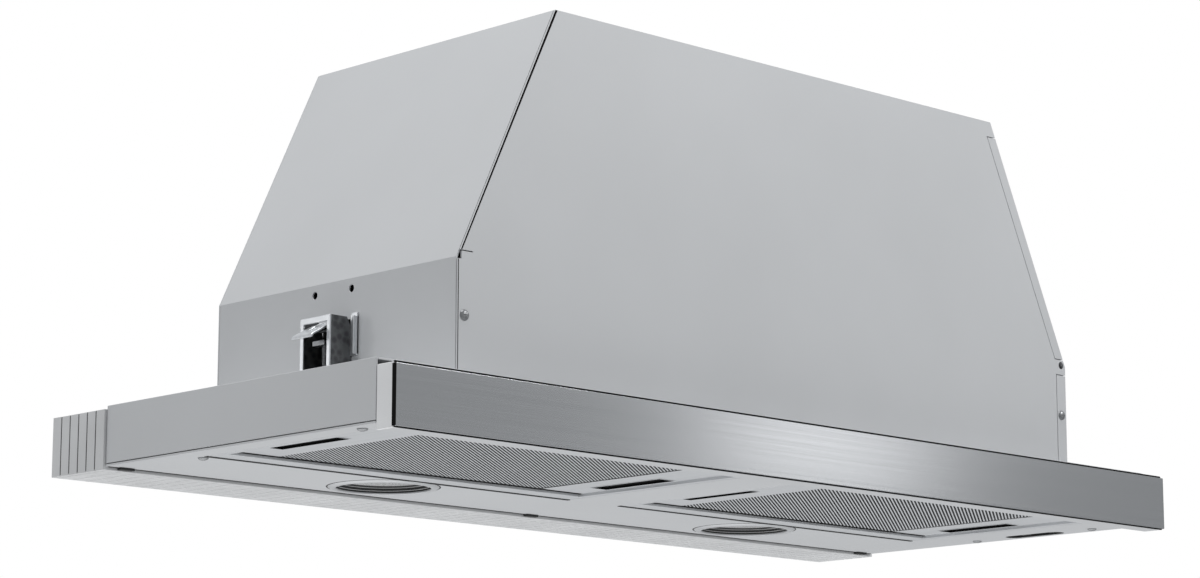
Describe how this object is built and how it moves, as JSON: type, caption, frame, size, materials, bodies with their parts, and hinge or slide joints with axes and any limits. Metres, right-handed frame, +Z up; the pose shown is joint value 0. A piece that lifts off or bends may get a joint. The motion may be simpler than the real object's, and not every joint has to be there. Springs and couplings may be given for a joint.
{
  "type": "pull-out range hood",
  "caption": "Built-in range hood with a tapered steel body, a flat base with grease filters and lamps, and a brushed fascia that pulls out as a visor.",
  "frame": {"origin": "bottom centre of the bounding box, under the middle of the hood", "axes": "+X to the right along the fascia, +Y to the wall behind, +Z up; the visor pulls out towards -Y"},
  "size_m": [0.6008, 0.2766, 0.2489],
  "materials": {
    "body_sheet": "satin grey coating on folded steel",
    "base_sheet": "satin grey coating on folded steel",
    "brushed_face": "level brush lines",
    "cap_plastic": "light grey moulding",
    "black_plastic": "black moulding",
    "grey_plastic": "grey moulding",
    "zinc_steel": "bright zinc plate",
    "filter_alu": "pressed sheet",
    "mesh_alu": "layers of expanded mesh",
    "lamp_trim": "satin chrome ring",
    "lamp_lens": "frosted cover",
    "lamp_alu": "cast heat sink",
    "white_plastic": "white moulding",
    "board_green": "circuit board",
    "shaft_steel": "ground steel",
    "magnet": "sintered magnet",
    "cable_jacket": "soft jacket"
  },
  "bodies": {
    "housing": {"front_cover": "body_sheet", "side_panel_left": "body_sheet", "side_panel_right": "body_sheet", "rear_panel": "body_sheet", "top_panel": "body_sheet", "base_wall_left": "base_sheet", "base_wall_right": "base_sheet", "base_deck": "base_sheet", "underside_panel": "base_sheet", "depth_spacer": "cap_plastic", "spacer_clips": "black_plastic", "outlet_ring": "black_plastic", "scroll_left": "grey_plastic", "scroll_right": "grey_plastic", "motor": "zinc_steel", "motor_bracket": "zinc_steel", "capacitor": "white_plastic", "control_box": "black_plastic", "control_box_lid": "grey_plastic", "circuit_board": "board_green", "terminal_block": "white_plastic", "cable_gland": "black_plastic", "wiring_harness": "cable_jacket", "lamp_bezel_left": "lamp_trim", "lamp_bezel_right": "lamp_trim", "lamp_lens_left": "lamp_lens", "lamp_lens_right": "lamp_lens", "lamp_body_left": "lamp_alu", "lamp_body_right": "lamp_alu", "control_bezel": "black_plastic", "switch_module": "grey_plastic", "rail_outer_left": "zinc_steel", "rail_outer_right": "zinc_steel", "reed_sensor": "white_plastic", "clip_bracket_left": "zinc_steel", "clip_bracket_right": "zinc_steel", "housing_screws": "zinc_steel"},
    "visor": {"fascia_plate": "brushed_face", "fascia_core": "black_plastic", "end_cap_left": "cap_plastic", "end_cap_right": "cap_plastic", "visor_frame": "base_sheet", "visor_screen": "filter_alu", "visor_magnet": "magnet", "rail_inner_left": "zinc_steel", "rail_inner_right": "zinc_steel"},
    "rail_mids": {"rail_mid_left": "zinc_steel", "rail_mid_right": "zinc_steel"},
    "filter_left": {"filter_frame_left": "filter_alu", "filter_mesh_left": "mesh_alu"},
    "filter_right": {"filter_frame_right": "filter_alu", "filter_mesh_right": "mesh_alu"},
    "fan": {"impeller": "black_plastic", "motor_shaft": "shaft_steel"},
    "damper_front": {"flap_front": "grey_plastic"},
    "damper_rear": {"flap_rear": "grey_plastic"},
    "lever_left": {"clip_lever_left": "zinc_steel"},
    "lever_right": {"clip_lever_right": "zinc_steel"},
    "fan_switch": {"fan_slider": "grey_plastic"},
    "light_switch": {"light_slider": "grey_plastic"}
  },
  "joints": [
    {"name": "visor_slide", "type": "slide", "parent": "housing", "child": "visor", "axis": [0, -1, 0], "range_m": [0, 0.165]},
    {"name": "rail_mid_slide", "type": "slide", "parent": "housing", "child": "rail_mids", "axis": [0, -1, 0], "range_m": [0, 0.0825]},
    {"name": "filter_left_hinge", "type": "hinge", "parent": "housing", "child": "filter_left", "pos_m": [0, -0.1183, 0.0033], "axis": [-1, 0, 0], "range_deg": [0, 75]},
    {"name": "filter_right_hinge", "type": "hinge", "parent": "housing", "child": "filter_right", "pos_m": [0, -0.1183, 0.0033], "axis": [-1, 0, 0], "range_deg": [0, 75]},
    {"name": "fan_spin", "type": "hinge", "parent": "housing", "child": "fan", "pos_m": [0, -0.0263, 0.125], "axis": [1, 0, 0], "continuous": true},
    {"name": "damper_front_hinge", "type": "hinge", "parent": "housing", "child": "damper_front", "pos_m": [0, 0.0021, 0.2349], "axis": [-1, 0, 0], "range_deg": [0, 75]},
    {"name": "damper_rear_hinge", "type": "hinge", "parent": "housing", "child": "damper_rear", "pos_m": [0, 0.0073, 0.2349], "axis": [1, 0, 0], "range_deg": [0, 75]},
    {"name": "lever_left_hinge", "type": "hinge", "parent": "housing", "child": "lever_left", "pos_m": [-0.2435, -0.0217, 0.0693], "axis": [0, -1, 0], "range_deg": [0, 22], "stiffness_Nm_per_rad": 0.05, "springref_deg": -17.19},
    {"name": "lever_right_hinge", "type": "hinge", "parent": "housing", "child": "lever_right", "pos_m": [0.2435, -0.0217, 0.0693], "axis": [0, 1, 0], "range_deg": [0, 22], "stiffness_Nm_per_rad": 0.05, "springref_deg": -17.19},
    {"name": "fan_switch_slide", "type": "slide", "parent": "housing", "child": "fan_switch", "axis": [0, 1, 0], "range_m": [0, 0.01]},
    {"name": "light_switch_slide", "type": "slide", "parent": "housing", "child": "light_switch", "axis": [0, 1, 0], "range_m": [0, 0.006]}
  ],
  "couplings": [
    {"joint": "rail_mid_slide", "follows": "visor_slide", "ratio": 0.5}
  ]
}
